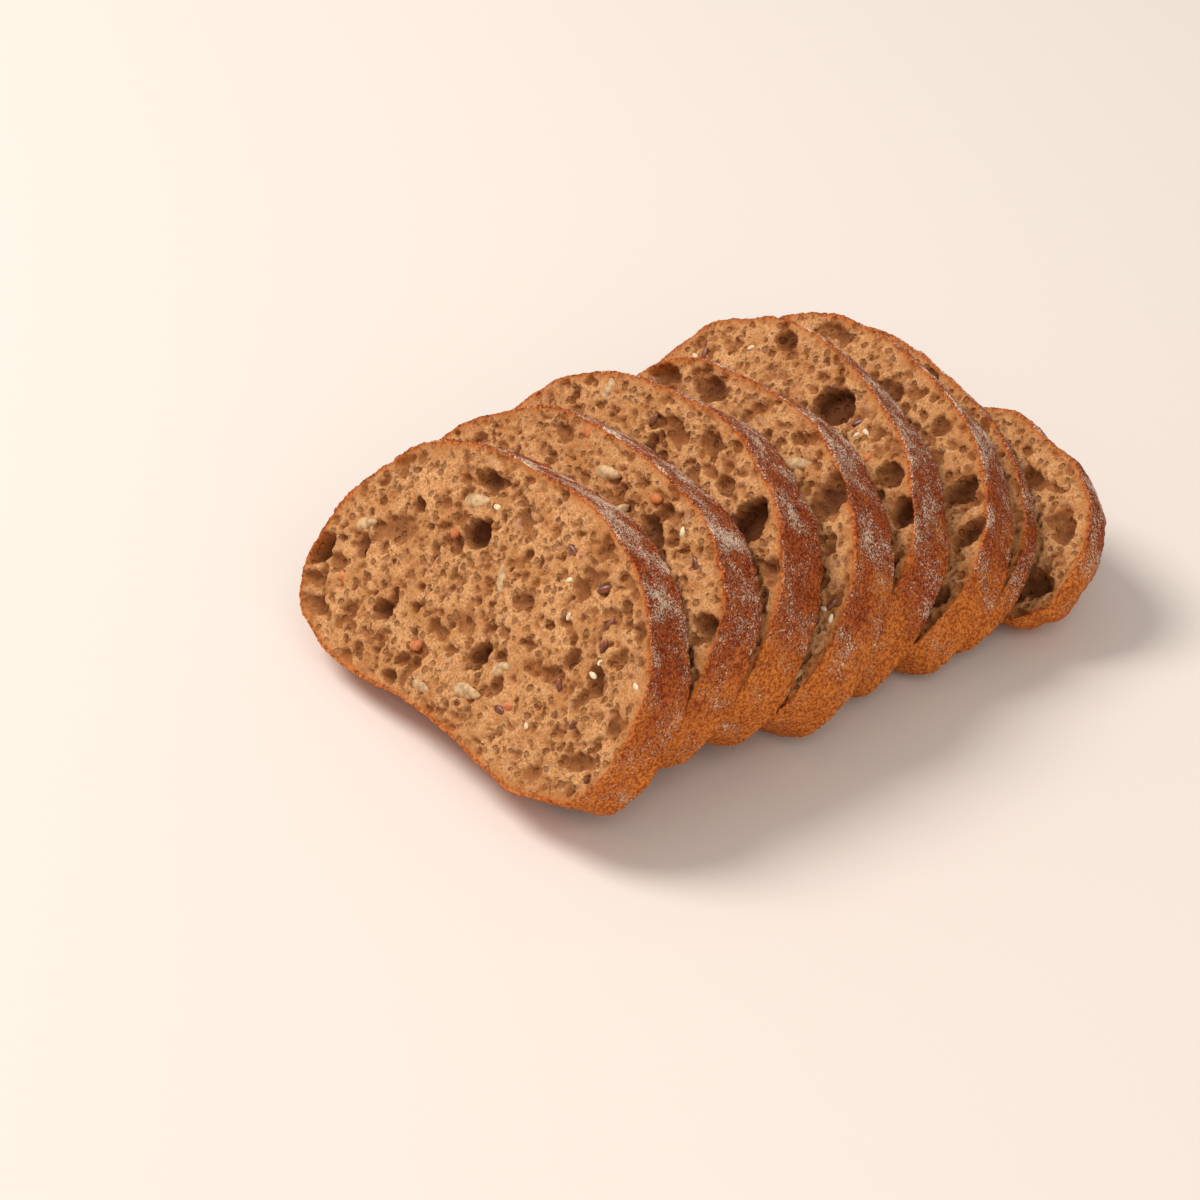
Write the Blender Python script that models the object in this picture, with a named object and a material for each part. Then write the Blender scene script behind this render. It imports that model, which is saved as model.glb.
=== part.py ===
"""Sliced mixed rye loaf: seven slices leaning back on one another and on the end piece.

Metres, +Z up. The cut faces look towards -Y and up, and the table is z = 0. The origin is at the
middle of the loaf's footprint, on the table.
"""

import math
import random
from collections import namedtuple

import bpy
import bmesh
from mathutils import Matrix, Vector

MM = 0.001

# The loaf's cross-section: a dome on a flatter foot, each half a superellipse.
DOME_POWERS = (2.5, 2.05)  # across and up: 2 is a round, more is squarer
FOOT_POWERS = (3.4, 3.3)
WIDEST_AT = 0.37  # height of the widest place, as a share of the height
DOME_DRIFT = -0.06  # the crown's sideways drift, as a share of the width
ARCH_AT = 0.035  # the hollow under the base, as shares of the width
ARCH_SPREAD = 0.20
OUTLINE_POINTS = 100

# The crust's own unevenness, and how the knife leaves its edge.
CRUST_WAVES = (3, 4, 5, 7, 9, 13)  # waves round the outline
CRUST_WAVE_DEPTH = 0.45 * MM
CRUST_BULGE = 0.5 * MM
CUT_EDGE = 0.6 * MM
CRUST_EDGE_ANGLE = 35  # degrees: a sharper turn than this stays an edge

# One row for each slice, front to back. Lengths are in mm and angles in degrees.
# x, y: middle of the base's back edge; yaw: turn about Z; lean: tilt back from upright;
# roll: tilt in the slice's own plane; drift: sideways slant of the sides; arch: hollow under the base.
Slice = namedtuple("Slice", "x y yaw lean roll width height thickness drift arch")
SLICES = (
    Slice(35, -70, 4.0, 36.0, 2.0, 138, 80, 16.0, 0.060, 6.8),
    Slice(32, -50, 3.5, 37.0, 4.0, 137, 82, 15.5, 0.075, 4.4),
    Slice(32, -27, 3.0, 38.5, 4.5, 132, 85, 17.5, 0.010, 4.4),
    Slice(36, -2, 2.5, 42.0, 0.5, 125, 84, 18.5, -0.030, 5.5),
    Slice(22, 27, -2.5, 46.0, -2.5, 135, 79, 17.5, -0.070, 4.4),
    Slice(20, 50, -3.0, 50.0, -3.5, 140, 73, 14.5, -0.030, 4.4),
    Slice(15, 62, -2.5, 54.0, -2.5, 142, 69, 7.0, -0.015, 4.5),
)
# The end piece: thickness is its straight rim, in front of the rounded end of the loaf.
HEEL = Slice(50, 86.5, -3.5, 47.5, -1.0, 84, 51, 4.0, 0.0, 2.0)
HEEL_END_DEPTH = 19 * MM
HEEL_END_RINGS = 9
HEEL_END_TURN = 86  # degrees of the quarter round that the end follows
HEEL_END_FULLNESS = 0.8  # 1 is a round end, and less is a fuller one

CRUST_COLOUR = (0.42, 0.17, 0.06, 1.0)
CRUMB_COLOUR = (0.55, 0.34, 0.16, 1.0)
BREAD_ROUGHNESS = 0.9
LOAF = "rye_bread_loaf"


def clear_scene():
    for obj in list(bpy.data.objects):
        bpy.data.objects.remove(obj, do_unlink=True)


def bread_material(name, colour):
    material = bpy.data.materials.new(name)
    material.use_nodes = True
    shader = material.node_tree.nodes["Principled BSDF"]
    shader.inputs["Base Color"].default_value = colour
    shader.inputs["Roughness"].default_value = BREAD_ROUGHNESS
    shader.inputs["Metallic"].default_value = 0.0
    material.diffuse_color = colour
    return material


def signed_power(value, power):
    return math.copysign(abs(value) ** (2.0 / power), value)


def outline(cut, seed):
    """The slice's outline in its own plane: x across, y up from its lowest point."""
    width = cut.width * MM
    height = cut.height * MM
    draw = random.Random(seed)
    waves = [(count, draw.uniform(0.3, 1.0), draw.uniform(0, math.tau)) for count in CRUST_WAVES]
    points = []
    for step in range(OUTLINE_POINTS):
        angle = math.tau * step / OUTLINE_POINTS
        across, up = math.cos(angle), math.sin(angle)
        powers = DOME_POWERS if up >= 0 else FOOT_POWERS
        reach = (1 - WIDEST_AT) if up >= 0 else WIDEST_AT
        x = signed_power(across, powers[0]) * width / 2
        y = signed_power(up, powers[1]) * height * reach
        if up < 0:
            depth = -y / (WIDEST_AT * height)
            y += cut.arch * MM * math.exp(-(((x / width - ARCH_AT) / ARCH_SPREAD) ** 2)) * depth
        x += width * (cut.drift * y / height + DOME_DRIFT * (y / height) ** 2)
        swell = sum(size * math.sin(count * angle + phase) for count, size, phase in waves)
        out = Vector((x, y)).normalized() * swell * CRUST_WAVE_DEPTH
        points.append(Vector((x, y)) + out)
    turned = Matrix.Rotation(math.radians(cut.roll), 2)
    points = [turned @ point for point in points]
    foot = min(point.y for point in points)
    return [Vector((point.x, point.y - foot)) for point in points]


def grown(points, amount):
    """The outline moved out square to itself by the amount, or in where the amount is negative."""
    moved = []
    for step, point in enumerate(points):
        along = points[(step + 1) % len(points)] - points[step - 1]
        moved.append(point + Vector((along.y, -along.x)).normalized() * amount)
    return moved


def slice_sections(points, thickness):
    """Sections from back to front: the knife's small edge, then the crust's slight bulge."""
    return [
        (0.0, grown(points, -CUT_EDGE)),
        (CUT_EDGE, points),
        (thickness / 2, grown(points, CRUST_BULGE)),
        (thickness - CUT_EDGE, points),
        (thickness, grown(points, -CUT_EDGE)),
    ]


def heel_sections(points, rim):
    """Sections of the end piece, from the tip of its rounded end to its cut face."""
    middle = sum(points, Vector((0, 0))) / len(points)
    sections = []
    for ring in range(HEEL_END_RINGS, 0, -1):
        turn = math.radians(HEEL_END_TURN) * ring / HEEL_END_RINGS
        shrink = math.cos(turn) ** HEEL_END_FULLNESS
        level = -HEEL_END_DEPTH * math.sin(turn)
        sections.append((level, [middle + (point - middle) * shrink for point in points]))
    sections.append((0.0, points))
    sections.append((rim - CUT_EDGE, points))
    sections.append((rim, grown(points, -CUT_EDGE)))
    return sections


def loft(name, sections, material, crumb, collection):
    """A closed solid through the sections, with a flat cap at each end."""
    shape = bmesh.new()
    rings = [[shape.verts.new((p.x, p.y, level)) for p in ring] for level, ring in sections]
    count = len(rings[0])
    for low, high in zip(rings, rings[1:]):
        for step in range(count):
            after = (step + 1) % count
            shape.faces.new((low[step], low[after], high[after], high[step]))
    for cap in (rings[0][::-1], rings[-1]):
        shape.faces.new(cap).material_index = 1
    mesh = bpy.data.meshes.new(name)
    shape.to_mesh(mesh)
    shape.free()
    mesh.materials.append(material)
    mesh.materials.append(crumb)
    mesh.shade_smooth()
    mesh.set_sharp_from_angle(angle=math.radians(CRUST_EDGE_ANGLE))
    obj = bpy.data.objects.new(name, mesh)
    collection.objects.link(obj)
    return obj


def lean_back(obj, cut):
    """Stands the slice on the table at its place, with its lowest point at z = 0."""
    turn = Matrix.Rotation(math.radians(cut.yaw), 4, "Z")
    tilt = Matrix.Rotation(math.radians(90 - cut.lean), 4, "X")
    place = Matrix.Translation((cut.x * MM, cut.y * MM, 0)) @ turn @ tilt
    drop = min((place @ vertex.co).z for vertex in obj.data.vertices)
    obj.matrix_world = Matrix.Translation((0, 0, -drop)) @ place


def centre_on_table(objects):
    """Moves the whole row so that the middle of its footprint is the origin."""
    corners = [obj.matrix_world @ vertex.co for obj in objects for vertex in obj.data.vertices]
    middle = [(min(c[axis] for c in corners) + max(c[axis] for c in corners)) / 2 for axis in (0, 1)]
    shift = Matrix.Translation((-middle[0], -middle[1], 0))
    for obj in objects:
        obj.matrix_world = shift @ obj.matrix_world


def main():
    clear_scene()
    collection = bpy.data.collections.new(LOAF)
    bpy.context.scene.collection.children.link(collection)
    crust = bread_material("baked crust", CRUST_COLOUR)
    crumb = bread_material("bread crumb", CRUMB_COLOUR)
    pieces = []
    for number, cut in enumerate(SLICES, start=1):
        sections = slice_sections(outline(cut, number), cut.thickness * MM)
        piece = loft(f"slice_{number}", sections, crust, crumb, collection)
        lean_back(piece, cut)
        pieces.append(piece)
    heel_seed = len(SLICES) + 1
    sections = heel_sections(outline(HEEL, heel_seed), HEEL.thickness * MM)
    heel = loft("heel", sections, crust, crumb, collection)
    lean_back(heel, HEEL)
    pieces.append(heel)
    centre_on_table(pieces)


main()
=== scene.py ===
"""Looks of the sliced mixed rye loaf: open crumb, baked and floured crust, and the seeds in it."""

import math

import bpy
import numpy as np
from mathutils import Matrix, Vector


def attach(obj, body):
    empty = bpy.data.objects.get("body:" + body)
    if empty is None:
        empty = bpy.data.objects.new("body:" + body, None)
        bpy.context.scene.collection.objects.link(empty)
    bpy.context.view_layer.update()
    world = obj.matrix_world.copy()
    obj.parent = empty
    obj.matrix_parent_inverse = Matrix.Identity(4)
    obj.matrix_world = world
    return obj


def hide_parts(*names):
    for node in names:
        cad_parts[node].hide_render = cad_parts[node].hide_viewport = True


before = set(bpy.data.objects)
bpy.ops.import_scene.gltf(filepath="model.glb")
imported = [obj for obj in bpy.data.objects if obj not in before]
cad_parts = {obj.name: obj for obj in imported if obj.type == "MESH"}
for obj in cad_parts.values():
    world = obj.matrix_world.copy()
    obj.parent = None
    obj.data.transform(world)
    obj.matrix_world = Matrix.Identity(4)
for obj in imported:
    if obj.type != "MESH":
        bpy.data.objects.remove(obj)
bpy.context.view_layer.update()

MM = 0.001  # one millimetre, in the metres that Blender works in

# ---------------------------------------------------------------- the loaf's own numbers, in mm
SLICES = [f"slice_{number}" for number in range(1, 8)]
VOXEL = 0.55  # how fine the bread's surface is made
OUTLINE_STEPS = 640  # points along a slice's outline, once it is smoothed
RASTER = 0.25  # step of the pore maps before they are laid on the cut faces
RIND = 1.3  # cut edge of the crust, where no pore opens
DEEPEST = 6.0  # no pore is deeper than this


# ---------------------------------------------------------------- small helpers
def deselect_all():
    for obj in bpy.context.selected_objects:
        obj.select_set(False)


def activate(obj):
    deselect_all()
    obj.select_set(True)
    bpy.context.view_layer.objects.active = obj


def points_of(mesh):
    flat = np.empty(len(mesh.vertices) * 3, np.float32)
    mesh.vertices.foreach_get("co", flat)
    return flat.reshape(-1, 3).astype(np.float64)


def set_points(mesh, points):
    mesh.vertices.foreach_set("co", points.astype(np.float32).ravel())
    mesh.update()


def set_attribute(mesh, name, values):
    layer = mesh.attributes.new(name, "FLOAT", "POINT")
    layer.data.foreach_set("value", values.astype(np.float32))


def ramp(values, low, high):
    """0 below low, 1 above high, and a smooth step between them."""
    share = np.clip((values - low) / (high - low), 0, 1)
    return share * share * (3 - 2 * share)


# ---------------------------------------------------------------- noise maps and pore maps
class Raster:
    """A map of values over a rectangle, in mm, read with bilinear steps."""

    def __init__(self, width, height, margin=3.0):
        self.low = np.array([-width / 2 - margin, -margin])
        self.shape = (int((height + 2 * margin) / RASTER) + 2, int((width + 2 * margin) / RASTER) + 2)
        rows = self.low[1] + RASTER * np.arange(self.shape[0])
        columns = self.low[0] + RASTER * np.arange(self.shape[1])
        self.x, self.y = np.meshgrid(columns, rows)

    def noise(self, rng, size, stretch=(1.0, 1.0)):
        """Smooth noise with features of about that size, evened to a spread of 1."""
        waves = np.fft.rfft2(rng.standard_normal(self.shape))
        up = np.fft.fftfreq(self.shape[0], RASTER)[:, None] * stretch[1]
        across = np.fft.rfftfreq(self.shape[1], RASTER)[None, :] * stretch[0]
        waves *= np.exp(-((up**2 + across**2) * (size * 1.6) ** 2))
        made = np.fft.irfft2(waves, self.shape)
        return (made - made.mean()) / made.std()

    def blur(self, values, size):
        waves = np.fft.rfft2(values)
        up = np.fft.fftfreq(self.shape[0], RASTER)[:, None]
        across = np.fft.rfftfreq(self.shape[1], RASTER)[None, :]
        return np.fft.irfft2(waves * np.exp(-2 * (math.pi * size) ** 2 * (up**2 + across**2)), self.shape)

    def read(self, values, x, y):
        column = np.clip((x - self.low[0]) / RASTER, 0, self.shape[1] - 1.001)
        row = np.clip((y - self.low[1]) / RASTER, 0, self.shape[0] - 1.001)
        left, below = column.astype(int), row.astype(int)
        across, up = column - left, row - below
        lower = values[below, left] * (1 - across) + values[below, left + 1] * across
        upper = values[below + 1, left] * (1 - across) + values[below + 1, left + 1] * across
        return lower * (1 - up) + upper * up


# Kinds of gas bubble in the crumb, in mm: how many to the square metre of cut face, the smallest
# and the largest radius, how far they may be drawn out, and how deep the knife opens them.
BUBBLES = (
    (150000, 0.60, 1.10, 1.5, 0.8),
    (30000, 1.0, 1.9, 1.6, 0.75),
    (4200, 1.8, 3.0, 1.7, 0.6),
    (420, 2.8, 3.8, 1.6, 0.4),
)


def stamp_bubble(chart, depth, warp, x, y, radius, stretch, turn, rise):
    """Opens one bubble in the depth map. rise is its middle's depth under the cut, in radii."""
    reach = radius * stretch + 1.2
    column = int((x - chart.low[0]) / RASTER)
    row = int((y - chart.low[1]) / RASTER)
    span = int(reach / RASTER) + 1
    rows = slice(max(row - span, 0), row + span + 1)
    columns = slice(max(column - span, 0), column + span + 1)
    dx = chart.x[rows, columns] + warp[0][rows, columns] - x
    dy = chart.y[rows, columns] + warp[1][rows, columns] - y
    along = (dx * math.cos(turn) + dy * math.sin(turn)) / (radius * stretch)
    across = (-dx * math.sin(turn) + dy * math.cos(turn)) / radius
    inside = 1 - along**2 - across**2
    opened = radius * (rise + np.sqrt(np.maximum(inside, 0)))
    opened = np.where(inside > 0, opened, 0)
    depth[rows, columns] = np.maximum(depth[rows, columns], opened)


def open_crumb(chart, shape, rng, holes=()):
    """Depth of the cut crumb's pores below the knife's plane, in mm."""
    warp = [0.35 * chart.noise(rng, 2.0) + 0.12 * chart.noise(rng, 0.7) for _ in range(2)]
    depth = np.zeros(chart.shape)
    area = shape.width * shape.height * 1e-6
    crowd = chart.noise(rng, 9.0)
    for count, low, high, stretch, reach in BUBBLES:
        for _ in range(int(count * area)):
            x = rng.uniform(-0.5, 0.5) * shape.width
            y = rng.uniform(0, 1) * shape.height
            radius = low * (high / low) ** (rng.random() ** 1.4)
            inside, along = shape.depth_inside(x, y)
            crowded = chart.read(crowd, x, y)
            if inside < RIND + radius * 0.75 or crowded < rng.normal(-1.3, 0.8):
                continue
            near_rind = math.exp(-inside / 7.0)
            turn = along if rng.random() < near_rind else rng.normal(0, 0.7)
            drawn = 1 + (stretch - 1) * rng.random() + 0.8 * near_rind * rng.random()
            rise = rng.uniform(-0.85, reach)
            stamp_bubble(chart, depth, warp, x, y, radius, drawn, turn, rise)
    for x, y, radius, drawn, turn, rise in holes:
        stamp_bubble(chart, depth, warp, x, y, radius, drawn, math.radians(turn), rise)
    torn = 0.10 * chart.noise(rng, 1.3) + 0.07 * chart.noise(rng, 0.55) + 0.14 * chart.noise(rng, 6.0)
    return chart.blur(np.minimum(depth, DEEPEST), 0.16) - torn


# ---------------------------------------------------------------- the slices' own frames
class SliceShape:
    """A CAD slice in its own axes, in mm: x across, y up the cut face from the base, z out of it."""

    def __init__(self, node):
        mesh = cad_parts[node].data
        points = points_of(mesh)
        corners = np.empty(len(mesh.polygons) * 3, np.int64)
        mesh.polygons.foreach_get("vertices", corners)
        corners = points[corners.reshape(-1, 3)]
        square = np.cross(corners[:, 1] - corners[:, 0], corners[:, 2] - corners[:, 0])
        self.out = self.cut_direction(square)
        across = np.cross((0.0, 0.0, 1.0), self.out)
        self.across = across / np.linalg.norm(across)
        self.up = np.cross(self.out, self.across)
        local = points @ np.stack([self.across, self.up, self.out]).T / MM
        low, high = local.min(0), local.max(0)
        self.origin = np.array([(low[0] + high[0]) / 2, low[1], low[2]])
        local -= self.origin
        self.width, self.height, self.front = high[0] - low[0], high[1] - low[1], high[2] - low[2]
        self.outline = self.smooth_outline(local)
        self.chart_of_depth()

    @staticmethod
    def cut_direction(square):
        """The cut face's normal: the direction that most of the surface with an upward tilt shares."""
        size = np.linalg.norm(square, axis=1)
        normal = square / np.maximum(size, 1e-12)[:, None]
        rising = normal[:, 2] > 0.05
        keys, group = np.unique(np.round(normal[rising], 2), axis=0, return_inverse=True)
        shares = np.bincount(group.ravel(), size[rising])
        best = keys[shares.argmax()]
        near = rising & (normal @ best > 0.999 * np.linalg.norm(best))
        total = square[near].sum(0)
        return total / np.linalg.norm(total)

    def smooth_outline(self, local):
        """The widest section below the cut face, as a closed curve through the CAD's own points."""
        levels = np.unique(np.round(local[:, 2], 2))
        level = levels[-2]
        ring = np.unique(np.round(local[np.abs(local[:, 2] - level) < 0.02][:, :2], 3), axis=0)
        middle = ring.mean(0)
        ring = ring[np.argsort(np.arctan2(ring[:, 1] - middle[1], ring[:, 0] - middle[0]))]
        count = len(ring)
        place = np.arange(OUTLINE_STEPS) * count / OUTLINE_STEPS
        step = place.astype(int)
        part = (place - step)[:, None]
        before, here, after, far = (ring[(step + shift) % count] for shift in (-1, 0, 1, 2))
        curve = 0.5 * (
            2 * here
            + (after - before) * part
            + (2 * before - 5 * here + 4 * after - far) * part**2
            + (3 * here - before - 3 * after + far) * part**3
        )
        # Corners of the foot are rounded off: waves much shorter than the slice die out.
        waves = np.fft.fft(curve, axis=0)
        order = np.abs(np.fft.fftfreq(OUTLINE_STEPS, 1 / OUTLINE_STEPS))[:, None]
        return np.fft.ifft(waves * np.exp(-((order / 26.0) ** 2)), axis=0).real

    def nearest(self, x, y):
        """Signed depth inside the outline, place along it from 0 to 1, and its direction there."""
        ends = np.roll(self.outline, -1, axis=0)
        run = ends - self.outline
        depth = np.empty(len(x))
        place = np.empty(len(x))
        turn = np.empty(len(x))
        for start in range(0, len(x), 4000):
            part = slice(start, start + 4000)
            away = np.stack([x[part], y[part]], 1)[:, None, :] - self.outline[None]
            share = np.clip((away * run).sum(2) / (run**2).sum(1), 0, 1)
            gap = away - share[..., None] * run
            square = (gap**2).sum(2)
            best = square.argmin(1)
            rows = np.arange(len(best))
            side = run[best, 0] * away[rows, best, 1] - run[best, 1] * away[rows, best, 0]
            depth[part] = np.sqrt(square[rows, best]) * np.sign(side)
            place[part] = (best + share[rows, best]) / OUTLINE_STEPS
            turn[part] = np.arctan2(run[best, 1], run[best, 0])
        return depth, place, turn

    def chart_of_depth(self, step=1.5):
        """A coarse map of the depth inside the outline, for placing bubbles and seeds."""
        columns = np.arange(-self.width / 2 - 3, self.width / 2 + 3, step)
        rows = np.arange(-3, self.height + 3, step)
        x, y = np.meshgrid(columns, rows)
        depth, place, turn = self.nearest(x.ravel(), y.ravel())
        self.chart = (columns[0], rows[0], step, depth.reshape(x.shape), turn.reshape(x.shape))

    def depth_inside(self, x, y):
        left, below, step, depth, turn = self.chart
        row = min(max(int(round((y - below) / step)), 0), depth.shape[0] - 1)
        column = min(max(int(round((x - left) / step)), 0), depth.shape[1] - 1)
        return depth[row, column], turn[row, column]

    def matrix(self):
        """From the slice's own axes in metres to the row's frame."""
        turn = Matrix(np.stack([self.across, self.up, self.out], 1).tolist()).to_4x4()
        return turn @ Matrix.Translation(Vector(self.origin * MM))


# ---------------------------------------------------------------- bread pieces
# Large holes that the knife opened, in each slice's own mm: x from the middle, y from the base,
# radius, how far it is drawn out, its turn in degrees, and how deep it goes.
HOLES = {
    "slice_1": (
        (-14, 55, 4.6, 1.1, 20, 0.3),
        (-42, 42, 5.0, 1.7, 25, -0.45),
        (-65, 24, 3.6, 1.5, 60, 0.3),
        (-33, 21, 3.2, 1.1, 0, 0.3),
        (8, 28, 3.0, 1.5, 70, 0.6),
        (13, 47, 2.8, 1.5, 10, 0.0),
        (38, 43, 2.6, 1.3, 70, 0.1),
        (-21, 69, 2.8, 1.3, 0, -0.2),
        (57, 22, 2.6, 2.4, 30, 0.1),
        (-2, 33, 5.2, 1.4, 10, -0.7),
        (30, 64, 2.4, 1.6, -30, 0.0),
        (48, 36, 2.2, 1.8, 75, 0.1),
    ),
    "slice_2": ((27, 68, 3.4, 1.7, -20, 0.3), (46, 54, 2.6, 1.6, 70, 0.2), (-20, 76, 2.2, 1.8, 0, 0.0)),
    "slice_3": (
        (36, 68, 5.0, 1.5, 80, 0.5),
        (11, 80, 3.0, 1.5, 0, 0.2),
        (-3, 77, 3.2, 2.0, -10, -0.1),
        (23, 73, 2.6, 1.4, 10, 0.2),
        (47, 46, 2.4, 2.0, 75, 0.2),
    ),
    "slice_4": (
        (-27, 73, 3.6, 2.0, 5, 0.1),
        (-45, 69, 3.4, 1.9, 10, 0.1),
        (33, 70, 5.4, 2.1, 75, -0.15),
        (44, 42, 3.0, 2.2, 80, 0.0),
    ),
    "slice_5": (
        (-30, 73, 3.2, 1.2, 0, 0.3),
        (2, 67, 6.0, 1.35, 15, 0.25),
        (50, 58, 4.8, 1.25, 50, 0.4),
        (36, 62, 3.8, 1.3, 20, 0.1),
        (56, 42, 2.8, 1.8, 75, 0.2),
    ),
    "slice_6": (
        (-4, 63, 3.4, 1.4, 0, 0.1),
        (43, 54, 4.0, 1.5, 60, 0.3),
        (56, 47, 3.6, 1.6, 75, 0.2),
        (20, 64, 2.6, 1.5, -10, 0.2),
    ),
    "heel": ((31, 15, 4.2, 1.7, 15, 0.1), (28, 9, 2.8, 1.6, 10, 0.0), (24, 34, 2.8, 1.4, 60, 0.1)),
}


def slab(name, shape):
    """The slice's plain body in its own axes: its outline, filled and drawn out to its thickness."""
    deselect_all()
    bpy.ops.mesh.primitive_circle_add(vertices=OUTLINE_STEPS, radius=0.05, fill_type="NGON")
    obj = bpy.context.object
    obj.name = obj.data.name = name
    flat = np.zeros((OUTLINE_STEPS, 3))
    flat[:, :2] = shape.outline * MM
    set_points(obj.data, flat)
    bpy.ops.object.mode_set(mode="EDIT")
    bpy.ops.mesh.select_all(action="SELECT")
    bpy.ops.mesh.extrude_region_move(TRANSFORM_OT_translate={"value": (0, 0, shape.front * MM)})
    bpy.ops.mesh.select_all(action="SELECT")
    bpy.ops.mesh.normals_make_consistent(inside=False)
    bpy.ops.object.mode_set(mode="OBJECT")
    return obj


def remesh(obj):
    """Even, fine faces all over, so that the surface can be shaped."""
    fine = obj.modifiers.new("fine faces", "REMESH")
    fine.mode = "VOXEL"
    fine.voxel_size = VOXEL * MM
    fine.adaptivity = 0.0
    activate(obj)
    bpy.ops.object.modifier_apply(modifier=fine.name)


def pore_depths(points, shape, side, rng, holes):
    """How deep the crumb is hollowed at each point of one cut face, in mm."""
    chart = Raster(shape.width, shape.height)
    pores = open_crumb(chart, shape, rng, holes)
    across = points[:, 0] if side == "front" else -points[:, 0]
    return chart.read(pores, across, points[:, 1])


MAP_SIDE = 190.0  # the bread's map is a square of this many mm
MAP_GAP = 2.0
CRUST_STRIPS = 3
STRIP_LENGTH = 140
BACK_SHARE = 0.45  # the back cut face is laid out smaller


def lay_out_uv(mesh, shape, points, zone, place):
    """The bread's own map: its two cut faces flat, and the crust as three strips."""
    count = len(mesh.loops)
    vertex = np.empty(count, np.int64)
    mesh.loops.foreach_get("vertex_index", vertex)
    total = np.empty(len(mesh.polygons), np.int64)
    mesh.polygons.foreach_get("loop_total", total)
    first = np.concatenate([[0], np.cumsum(total)[:-1]])
    face_of = np.repeat(np.arange(len(total)), total)
    face_zone = np.round(np.add.reduceat(zone[vertex], first) / total)[face_of]
    x, y, z = points[vertex].T
    flat = np.stack([x + shape.width / 2, y], 1)
    along = place[vertex]
    along_first = along[first][face_of]
    along = np.where(along - along_first > 0.5, along - 1, along)
    along = np.where(along_first - along > 0.5, along + 1, along)
    middle = (np.add.reduceat(along, first) / total)[face_of] % 1.0
    strip = np.minimum(np.floor(middle * CRUST_STRIPS), CRUST_STRIPS - 1)
    along = np.where(along - middle > 0.5, along - 1, along)
    along = np.where(middle - along > 0.5, along + 1, along)
    run = (along * CRUST_STRIPS - strip) * STRIP_LENGTH + MAP_GAP * 2
    front_height = shape.height + 2 * MAP_GAP
    crust_height = shape.front + 2 * MAP_GAP
    crust = np.stack([run, front_height + strip * crust_height + z + MAP_GAP], 1)
    back = flat * BACK_SHARE
    back[:, 1] += front_height + CRUST_STRIPS * crust_height
    uv = np.where((face_zone == 1)[:, None], flat, crust)
    uv = np.where((face_zone == -1)[:, None], back, uv)
    uv = (uv + MAP_GAP) / MAP_SIDE
    layer = mesh.uv_layers.new(name="OFBake")
    layer.data.foreach_set("uv", np.clip(uv, 0.001, 0.999).astype(np.float32).ravel())


def bread(node, seed):
    """One slice: remeshed from the CAD's outline, its crumb opened and its crust roughened."""
    shape = SliceShape(node)
    obj = slab(f"bread_{node}", shape)
    remesh(obj)
    mesh = obj.data
    points = points_of(mesh) / MM
    rng = np.random.default_rng(seed)
    inside, place, turn = shape.nearest(points[:, 0], points[:, 1])
    from_front, from_back = shape.front - points[:, 2], points[:, 2]
    edge = 0.9 * VOXEL
    zone = np.where(from_front < edge, 1, np.where(from_back < edge, -1, 0))
    zone = np.where(inside < 0.7 * VOXEL, 0, zone)

    open_share = ramp(inside, 0.5, RIND + 0.8)
    holes = HOLES.get(node, ())
    front_depth = pore_depths(points, shape, "front", rng, holes) * open_share
    back_depth = pore_depths(points, shape, "back", rng, ()) * open_share
    deepest = shape.front * 0.42  # so that pores from both sides never meet
    front_depth = np.minimum(front_depth, deepest)
    back_depth = np.minimum(back_depth, deepest)

    # The crust: low swells, blisters and a fine grain, laid round the outline.
    girth = np.linalg.norm(np.roll(shape.outline, -1, 0) - shape.outline, axis=1).sum()
    band = Raster(girth, shape.front + 6)
    swells = 0.16 * band.noise(rng, 7.0) + 0.12 * band.noise(rng, 2.4) + 0.08 * band.noise(rng, 0.8)
    lift = band.read(swells, (place - 0.5) * girth, points[:, 2])
    side_share = 1 - ramp(inside, 0.3, 1.6)
    square_out = np.stack([np.sin(turn), -np.cos(turn)], 1)
    points[:, :2] += square_out * (lift * side_share - 0.15)[:, None] * side_share[:, None]

    points[:, 2] -= np.where(zone == 1, front_depth, 0)
    points[:, 2] += np.where(zone == -1, back_depth, 0)
    pore = np.where(zone == 1, front_depth, np.where(zone == -1, back_depth, 0))
    set_points(mesh, points * MM)

    set_attribute(mesh, "pore_depth", np.clip(pore, -1, 6))
    set_attribute(mesh, "from_rind", np.clip(inside, -1, 12))
    set_attribute(mesh, "up_the_side", np.clip(points[:, 1] / shape.height, 0, 1))
    set_attribute(mesh, "cut_face", np.abs(zone).astype(float))
    lay_out_uv(mesh, shape, points, zone, place)
    mesh.transform(shape.matrix())
    mesh.shade_smooth()
    mesh.materials.append(BREAD)
    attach(obj, "root")
    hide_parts(node)
    return obj, shape


# ---------------------------------------------------------------- materials
def linear(hexadecimal):
    """sRGB hex to the linear colour that a shader takes."""
    values = [int(hexadecimal[i : i + 2], 16) / 255 for i in (1, 3, 5)]
    return (*(v / 12.92 if v <= 0.04045 else ((v + 0.055) / 1.055) ** 2.4 for v in values), 1.0)


def new_material(name):
    material = bpy.data.materials.new(name)
    material.use_nodes = True
    return material, material.node_tree


def add_node(tree, kind, inputs=None, **settings):
    """Adds a node, sets its own settings, then each input to a value or to another node's output."""
    node = tree.nodes.new(kind)
    for key, value in settings.items():
        setattr(node, key, value)
    for key, value in (inputs or {}).items():
        if isinstance(value, bpy.types.NodeSocket):
            tree.links.new(value, node.inputs[key])
        else:
            node.inputs[key].default_value = value
    return node


def per_mm(size):
    """Scale of a pattern whose cells are that many mm, on coordinates in metres."""
    return 1 / (size * MM)


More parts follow.
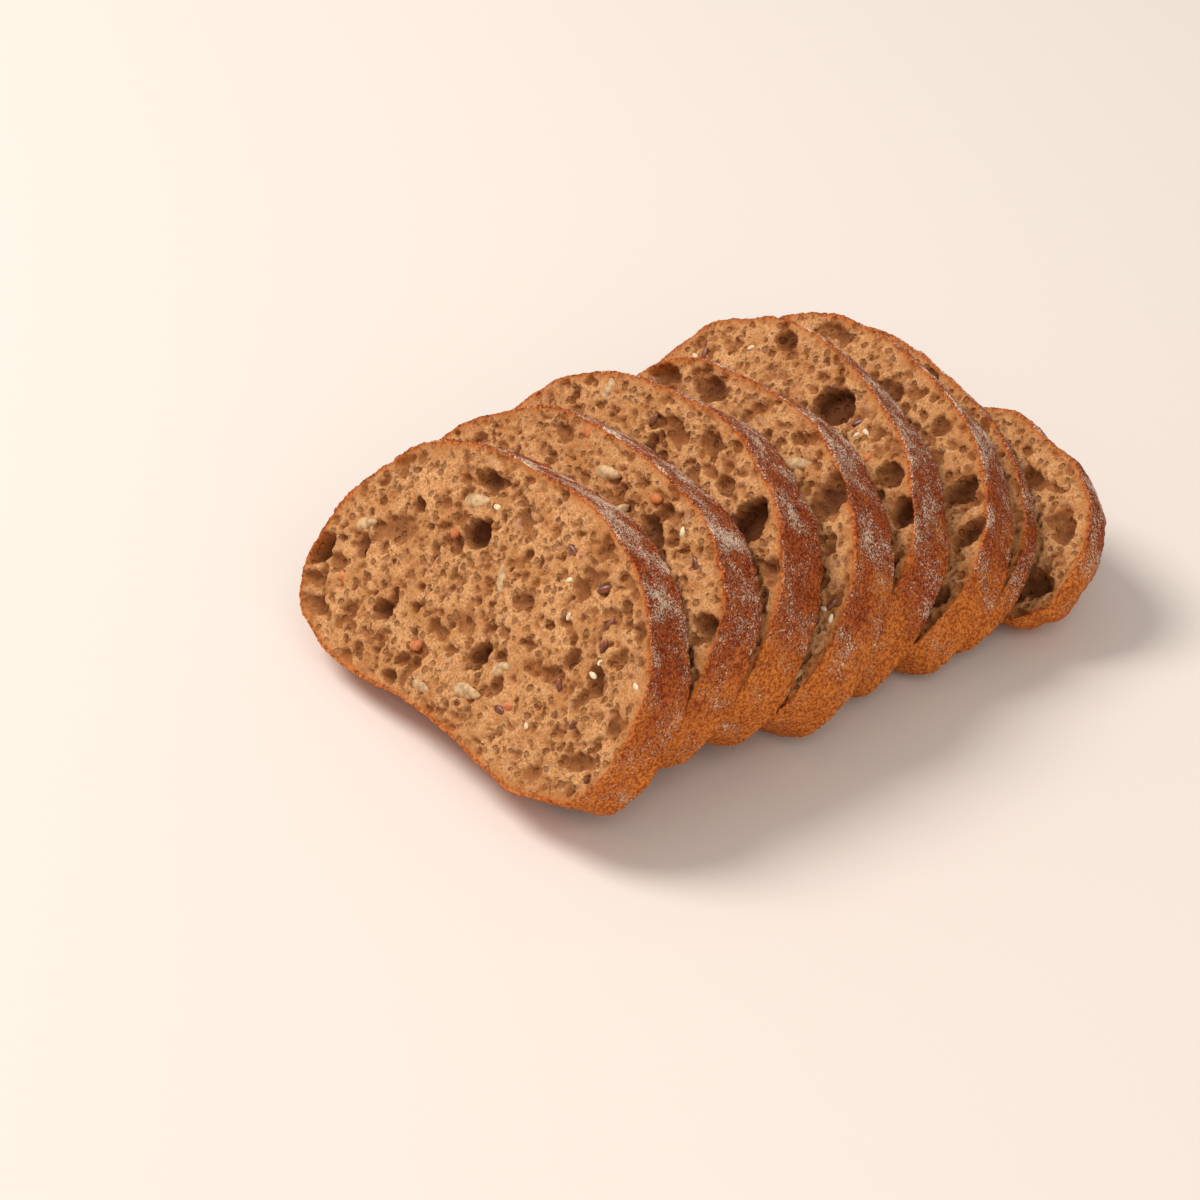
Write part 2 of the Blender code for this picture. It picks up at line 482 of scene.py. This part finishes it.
def speckle(tree, place, size, detail=2.0, rough=0.5):
    """Soft noise from 0 to 1, with blotches of about that many mm."""
    values = {"Vector": place, "Scale": per_mm(size), "Detail": detail, "Roughness": rough}
    node = add_node(tree, "ShaderNodeTexNoise", values)
    return node.outputs["Fac"]


def remap(tree, value, low, high, to_low=0.0, to_high=1.0):
    """A smooth step from to_low, at low, to to_high, at high."""
    node = add_node(
        tree,
        "ShaderNodeMapRange",
        {"Value": value, "From Min": low, "From Max": high, "To Min": to_low, "To Max": to_high},
        interpolation_type="SMOOTHSTEP",
    )
    return node.outputs["Result"]


def maths(tree, operation, first, second=0.0):
    node = add_node(tree, "ShaderNodeMath", {0: first, 1: second}, operation=operation)
    return node.outputs["Value"]


def blend(tree, share, first, second, mode="MIX"):
    """Mixes two colours, each a hex value or a node's output."""
    node = add_node(tree, "ShaderNodeMix", data_type="RGBA", blend_type=mode)
    for key, value in (("Factor", share), ("A", first), ("B", second)):
        socket = [s for s in node.inputs if s.name == key and s.enabled][0]
        if isinstance(value, bpy.types.NodeSocket):
            tree.links.new(value, socket)
        else:
            socket.default_value = linear(value) if isinstance(value, str) else value
    return [s for s in node.outputs if s.enabled][0]


def attribute(tree, name):
    return add_node(tree, "ShaderNodeAttribute", attribute_name=name).outputs["Fac"]


def bubbles_in(tree, place, size, radius, chosen):
    """Small gas bubbles cut open: 1 in the middle of one, 0 on the crumb between them."""
    values = {"Vector": place, "Scale": per_mm(size), "Randomness": 1.0}
    cells = add_node(tree, "ShaderNodeTexVoronoi", values)
    opened = remap(tree, cells.outputs["Distance"], radius * 0.6, radius, 1.0, 0.0)
    return maths(tree, "MULTIPLY", opened, chosen)


def bread_material():
    """Mixed rye bread, baked on a floured cloth: matte open crumb inside a thin browned crust."""
    material, tree = new_material("mixed rye bread")
    shader = tree.nodes["Principled BSDF"]
    place = add_node(tree, "ShaderNodeTexCoord").outputs["Object"]
    pore, rind = attribute(tree, "pore_depth"), attribute(tree, "from_rind")
    side, cut = attribute(tree, "up_the_side"), attribute(tree, "cut_face")

    # Coordinates pushed about by half a millimetre, so that no bubble is quite round.
    push = add_node(tree, "ShaderNodeTexNoise", {"Vector": place, "Scale": per_mm(1.8), "Detail": 2.0})
    pushed = add_node(
        tree,
        "ShaderNodeVectorMath",
        {0: push.outputs["Color"], 1: (1.4 * MM, 1.4 * MM, 1.4 * MM), 2: place},
        operation="MULTIPLY_ADD",
    ).outputs["Vector"]

    # Crumb: golden beige ridges over hollows darkened with painted shade, greyer where whole grain lies
    # under it.
    cloud = speckle(tree, place, 7.0, 3.0)
    grain = speckle(tree, place, 0.7, 4.0, 0.65)
    crumb = blend(tree, remap(tree, grain, 0.32, 0.68), "#B97A43", "#E6AE78")
    crumb = blend(tree, remap(tree, cloud, 0.38, 0.68, 0.0, 0.6), crumb, "#AE6C34")
    grey = remap(tree, speckle(tree, place, 3.6, 2.0), 0.6, 0.7, 0.0, 0.35)
    crumb = blend(tree, grey, crumb, "#A8806C")
    many = remap(tree, speckle(tree, place, 5.0, 2.0), 0.4, 0.62)
    fine = bubbles_in(tree, pushed, 1.9, 0.42, many)
    wider = bubbles_in(tree, pushed, 3.6, 0.34, 1.0)
    # Painted shade: the small bubbles, which exist only in the shader, are coloured dark brown as if shade
    # lay in them.
    crumb = blend(tree, maths(tree, "MULTIPLY", fine, 0.55), crumb, "#7C431A")
    crumb = blend(tree, maths(tree, "MULTIPLY", wider, 0.55), crumb, "#713A14")
    # Painted shade: the deeper a pore is cut into the mesh, the darker its colour, as if shade fell into
    # it.
    crumb = blend(tree, remap(tree, pore, 0.05, 1.2, 0.0, 0.68), crumb, "#8C4C1E")
    crumb = blend(tree, remap(tree, pore, 1.2, 4.6, 0.0, 0.85), crumb, "#54270C")
    bran = remap(tree, speckle(tree, place, 0.9, 1.0), 0.69, 0.73, 0.0, 0.75)
    crumb = blend(tree, bran, crumb, "#6F3517")

    # Crust: reddish brown on the dome, orange tan on the sides, finely mottled.
    mottle = speckle(tree, place, 0.9, 4.0, 0.65)
    patch = speckle(tree, place, 12.0, 3.0)
    low_crust = blend(tree, remap(tree, mottle, 0.36, 0.64), "#9A4410", "#E5883A")
    dome_crust = blend(tree, remap(tree, mottle, 0.36, 0.64), "#6C2206", "#BC5A24")
    browned = maths(tree, "ADD", side, maths(tree, "MULTIPLY", maths(tree, "SUBTRACT", patch, 0.5), 1.2))
    crust = blend(tree, remap(tree, browned, 0.3, 0.75), low_crust, dome_crust)
    streak = speckle(tree, place, 9.0, 4.0, 0.6)
    dust = speckle(tree, place, 0.55, 3.0, 0.7)
    floured = maths(tree, "ADD", maths(tree, "MULTIPLY", browned, 0.30), streak)
    flour = maths(tree, "ADD", floured, maths(tree, "MULTIPLY", maths(tree, "SUBTRACT", dust, 0.5), 1.7))
    flour_share = remap(tree, flour, 0.80, 0.95, 0.0, 0.9)
    crust = blend(tree, flour_share, crust, "#F6D9BC")

    # The crust shows on the cut as a thin orange-brown line, and browns the crumb next to it.
    wobble = maths(tree, "MULTIPLY", maths(tree, "SUBTRACT", speckle(tree, place, 4.0, 3.0), 0.5), 1.8)
    depth = maths(tree, "ADD", rind, wobble)
    crumb = blend(tree, remap(tree, depth, 0.8, 4.4, 0.55, 0.0), crumb, "#B4692F")
    rim = blend(tree, remap(tree, mottle, 0.4, 0.62), "#94400F", "#D0742F")
    crumb = blend(tree, remap(tree, depth, 0.7, 1.8, 0.92, 0.0), crumb, rim)
    colour = blend(tree, cut, crust, crumb)
    tree.links.new(colour, shader.inputs["Base Color"])

    hollow = maths(tree, "ADD", maths(tree, "MULTIPLY", fine, -0.8), maths(tree, "MULTIPLY", wider, -1.3))
    crumb_height = maths(tree, "ADD", maths(tree, "MULTIPLY", grain, 0.8), hollow)
    heaped = maths(tree, "MULTIPLY", flour_share, 0.3)
    crust_height = maths(tree, "ADD", maths(tree, "MULTIPLY", mottle, 1.1), heaped)
    picked = add_node(
        tree, "ShaderNodeMix", {0: cut, 2: crust_height, 3: crumb_height}, data_type="FLOAT"
    ).outputs[0]
    bump = add_node(tree, "ShaderNodeBump", {"Strength": 0.9, "Distance": 0.6 * MM, "Height": picked})
    tree.links.new(bump.outputs["Normal"], shader.inputs["Normal"])
    shader.inputs["Roughness"].default_value = 0.82
    shader.inputs["Specular IOR Level"].default_value = 0.18
    return material


BREAD = bread_material()


# ---------------------------------------------------------------- heel
def heel_bread(node, seed):
    """The end piece: the CAD's own rounded solid, remeshed, with crumb on its cut face only."""
    shape = SliceShape(node)
    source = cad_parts[node]
    obj = source.copy()
    obj.data = source.data.copy()
    obj.parent = None
    for key in list(obj.keys()):
        del obj[key]
    bpy.context.scene.collection.objects.link(obj)
    obj.name = obj.data.name = f"bread_{node}"
    mesh = obj.data
    mesh.transform(shape.matrix().inverted())
    activate(obj)
    bpy.ops.object.mode_set(mode="EDIT")
    bpy.ops.mesh.select_all(action="SELECT")
    bpy.ops.mesh.remove_doubles(threshold=0.00001)
    bpy.ops.mesh.normals_make_consistent(inside=False)
    bpy.ops.object.mode_set(mode="OBJECT")
    remesh(obj)
    mesh = obj.data
    points = points_of(mesh) / MM
    rng = np.random.default_rng(seed)
    inside, place, turn = shape.nearest(points[:, 0], points[:, 1])
    from_front = shape.front - points[:, 2]
    zone = np.where((from_front < 0.9 * VOXEL) & (inside > 0.7 * VOXEL), 1, 0)
    open_share = ramp(inside, 0.5, RIND + 0.8)
    depth = np.minimum(pore_depths(points, shape, "front", rng, HOLES[node]) * open_share, 4.0)
    normals = np.empty(len(mesh.vertices) * 3, np.float32)
    mesh.vertices.foreach_get("normal", normals)
    normals = normals.reshape(-1, 3)
    band = Raster(2 * shape.width, 2 * shape.height)
    swells = 0.16 * band.noise(rng, 7.0) + 0.12 * band.noise(rng, 2.4) + 0.08 * band.noise(rng, 0.8)
    lift = band.read(swells, points[:, 0], points[:, 1] + points[:, 2]) - 0.15
    points += normals * np.where(zone == 1, 0, lift)[:, None]
    points[:, 2] -= np.where(zone == 1, depth, 0)
    set_points(mesh, points * MM)
    set_attribute(mesh, "pore_depth", np.where(zone == 1, depth, 0))
    set_attribute(mesh, "from_rind", np.clip(inside, -1, 12))
    set_attribute(mesh, "up_the_side", np.clip(points[:, 1] / shape.height, 0, 1))
    set_attribute(mesh, "cut_face", zone.astype(float))
    mesh.transform(shape.matrix())
    mesh.shade_smooth()
    mesh.materials.clear()
    mesh.materials.append(BREAD)
    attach(obj, "root")
    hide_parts(node)
    return obj, shape


# ---------------------------------------------------------------- seeds in the crumb
# Each kind: length, width and thickness in mm, how much one end narrows, how many more lie
# scattered on each cut face, and how deep they sit, as a share of their thickness.
SEEDS = {
    "sunflower_kernels": (9.6, 4.8, 2.6, 0.45, 3, 0.32),
    "flax_seeds": (4.8, 2.4, 1.3, 0.35, 7, 0.2),
    "sesame_seeds": (2.9, 1.8, 1.0, 0.3, 8, 0.15),
    "carrot_bits": (4.0, 3.0, 2.0, 0.0, 1, 0.3),
}
# Seeds that stand out, by slice: x from the middle, y from the base, and turn in degrees.
PLACED = {
    "sunflower_kernels": {
        "slice_1": ((-55, 37, 35), (-45, 45, 60), (-20, 62, 25), (17, 29, 40), (10, 18, 15), (-6, 11, 5)),
        "slice_2": ((2, 74, 20), (40, 58, 75)),
        "slice_4": ((16, 70, 30), (56, 22, 60)),
        "slice_5": ((40, 46, 80),),
    },
    "flax_seeds": {
        "slice_1": ((44, 57, 80), (-62, 27, 50), (24, 20, 10), (50, 30, 70)),
        "slice_3": ((26, 72, 20), (46, 58, 70)),
        "slice_4": ((54, 45, 80),),
        "slice_5": ((14, 68, 60),),
    },
    "sesame_seeds": {"slice_1": ((-12, 64, 10), (24, 60, 40), (30, 52, 80))},
    "carrot_bits": {
        "slice_1": ((-15, 19, 30), (26, 22, 10), (-22, 51, 80)),
        "slice_2": ((22, 76, 20),),
        "slice_5": ((44, 38, 0),),
    },
}


def seed_finish(name, dark, light, roughness):
    material, tree = new_material(name)
    shader = tree.nodes["Principled BSDF"]
    place = add_node(tree, "ShaderNodeTexCoord").outputs["Object"]
    tone = remap(tree, speckle(tree, place, 1.6, 3.0), 0.35, 0.65)
    tree.links.new(blend(tree, tone, dark, light), shader.inputs["Base Color"])
    shader.inputs["Roughness"].default_value = roughness
    return material


def seed_model(name, length, width, thick, narrowing):
    """One seed on its flat side at the origin, its narrower end towards +X."""
    deselect_all()
    bpy.ops.mesh.primitive_uv_sphere_add(segments=18, ring_count=10, radius=0.5 * MM)
    seed = bpy.context.object
    seed.name = name
    points = points_of(seed.data)
    along = points[:, 0] / MM
    points[:, 1] *= width * (1 - narrowing * (along + 0.5) ** 1.5)
    points[:, 0] *= length
    points[:, 2] *= thick
    set_points(seed.data, points)
    seed.data.shade_smooth()
    return seed


def over_a_hole(node, x, y):
    """True where one of the slice's large holes leaves nothing for a seed to sit in."""
    return any(math.hypot(x - hole[0], y - hole[1]) < 1.2 * hole[2] + 1.5 for hole in HOLES.get(node, ()))


def scatter_seeds(name, shapes, material, seed):
    """All the seeds of one kind, each a copy laid on a cut face and joined into one piece."""
    length, width, thick, narrowing, more, sink = SEEDS[name]
    rng = np.random.default_rng(seed)
    model = seed_model(name, length, width, thick, narrowing)
    model.data.materials.append(material)
    copies = []
    for node in SLICES[:6]:
        shape = shapes[node]
        places = list(PLACED[name].get(node, ()))
        while len(places) < more + len(PLACED[name].get(node, ())):
            x, y = rng.uniform(-0.5, 0.5) * shape.width, rng.uniform(0, 1) * shape.height
            places.append((x, y, rng.uniform(0, 360)))
        for x, y, turn in places:
            if shape.depth_inside(x, y)[0] < 3.5 or over_a_hole(node, x, y):
                continue
            size = rng.uniform(0.85, 1.08)
            copy = model.copy()
            copy.data = model.data.copy()
            bpy.context.scene.collection.objects.link(copy)
            laid = Matrix.Translation(Vector((x, y, shape.front - sink * thick)) * MM)
            laid = laid @ Matrix.Rotation(math.radians(turn), 4, "Z")
            laid = laid @ Matrix.Rotation(rng.normal(0, 0.12), 4, "Y")
            copy.data.transform(shape.matrix() @ laid @ Matrix.Scale(size, 4))
            copies.append(copy)
    bpy.data.objects.remove(model)
    deselect_all()
    for copy in copies:
        copy.select_set(True)
    bpy.context.view_layer.objects.active = copies[0]
    bpy.ops.object.join()
    piece = bpy.context.object
    piece.name = piece.data.name = name
    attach(piece, "root")


# ---------------------------------------------------------------- stage, lights and camera
KEY_POWER = 34  # watts
FILL_POWER = 14
ROOM_LIGHT = 0.42


def stage():
    deselect_all()
    bpy.ops.mesh.primitive_plane_add(size=6.0, location=(0, 0, 0))
    floor = bpy.context.object
    floor.name = "pale_floor"
    material, tree = new_material("pale painted board")
    shader = tree.nodes["Principled BSDF"]
    shader.inputs["Base Color"].default_value = linear("#E9DDD3")
    shader.inputs["Roughness"].default_value = 0.7
    floor.data.materials.append(material)


def area_lamp(name, place, size, power, colour, aim=(0, 0, 0.02)):
    data = bpy.data.lights.new(name, "AREA")
    data.shape = "DISK"
    data.size = size
    data.energy = power
    data.color = colour
    lamp = bpy.data.objects.new(name, data)
    bpy.context.scene.collection.objects.link(lamp)
    lamp.location = place
    lamp.rotation_euler = (Vector(aim) - Vector(place)).to_track_quat("-Z", "Y").to_euler()
    return lamp


def lights():
    area_lamp("high window", (-1.0, -0.75, 1.65), 1.0, KEY_POWER, (1.0, 0.98, 0.95))
    area_lamp("room fill", (1.5, -0.5, 1.3), 1.6, FILL_POWER, (1.0, 0.97, 0.94))
    world = bpy.data.worlds.new("soft room")
    bpy.context.scene.world = world
    world.use_nodes = True
    background = world.node_tree.nodes["Background"]
    background.inputs["Color"].default_value = (1.0, 0.98, 0.96, 1.0)
    background.inputs["Strength"].default_value = ROOM_LIGHT


CAMERA_AZIMUTH = 57.3
CAMERA_HEIGHT_ANGLE = 34.8
CAMERA_DISTANCE = 1.076
CAMERA_AIM = Vector((-0.024, -0.0214, 0.0))
CAMERA_LENS = 111.2


def camera():
    data = bpy.data.cameras.new("camera")
    data.lens = CAMERA_LENS
    data.sensor_width = 36.0
    obj = bpy.data.objects.new("camera", data)
    bpy.context.scene.collection.objects.link(obj)
    turn, height = math.radians(CAMERA_AZIMUTH), math.radians(CAMERA_HEIGHT_ANGLE)
    back = Vector((math.sin(turn) * math.cos(height), -math.cos(turn) * math.cos(height), math.sin(height)))
    obj.location = CAMERA_AIM + back * CAMERA_DISTANCE
    obj.rotation_euler = (-back).to_track_quat("-Z", "Y").to_euler()
    bpy.context.scene.camera = obj


def main():
    camera()
    stage()
    lights()
    bpy.context.scene.view_settings.view_transform = "Standard"
    shapes = {}
    for seed, node in enumerate(SLICES, start=11):
        shapes[node] = bread(node, seed)[1]
    shapes["heel"] = heel_bread("heel", 31)[1]
    kernel = seed_finish("toasted sunflower kernel", "#A97F54", "#D3AC7C", 0.6)
    flax = seed_finish("brown flax seed", "#5A2B16", "#8A4526", 0.35)
    sesame = seed_finish("pale sesame seed", "#D9BC90", "#F0DDBB", 0.55)
    carrot = seed_finish("dried carrot", "#B55A24", "#D07A3E", 0.6)
    for seed, (name, finish) in enumerate(zip(SEEDS, (kernel, flax, sesame, carrot)), start=41):
        scatter_seeds(name, shapes, finish, seed)


main()
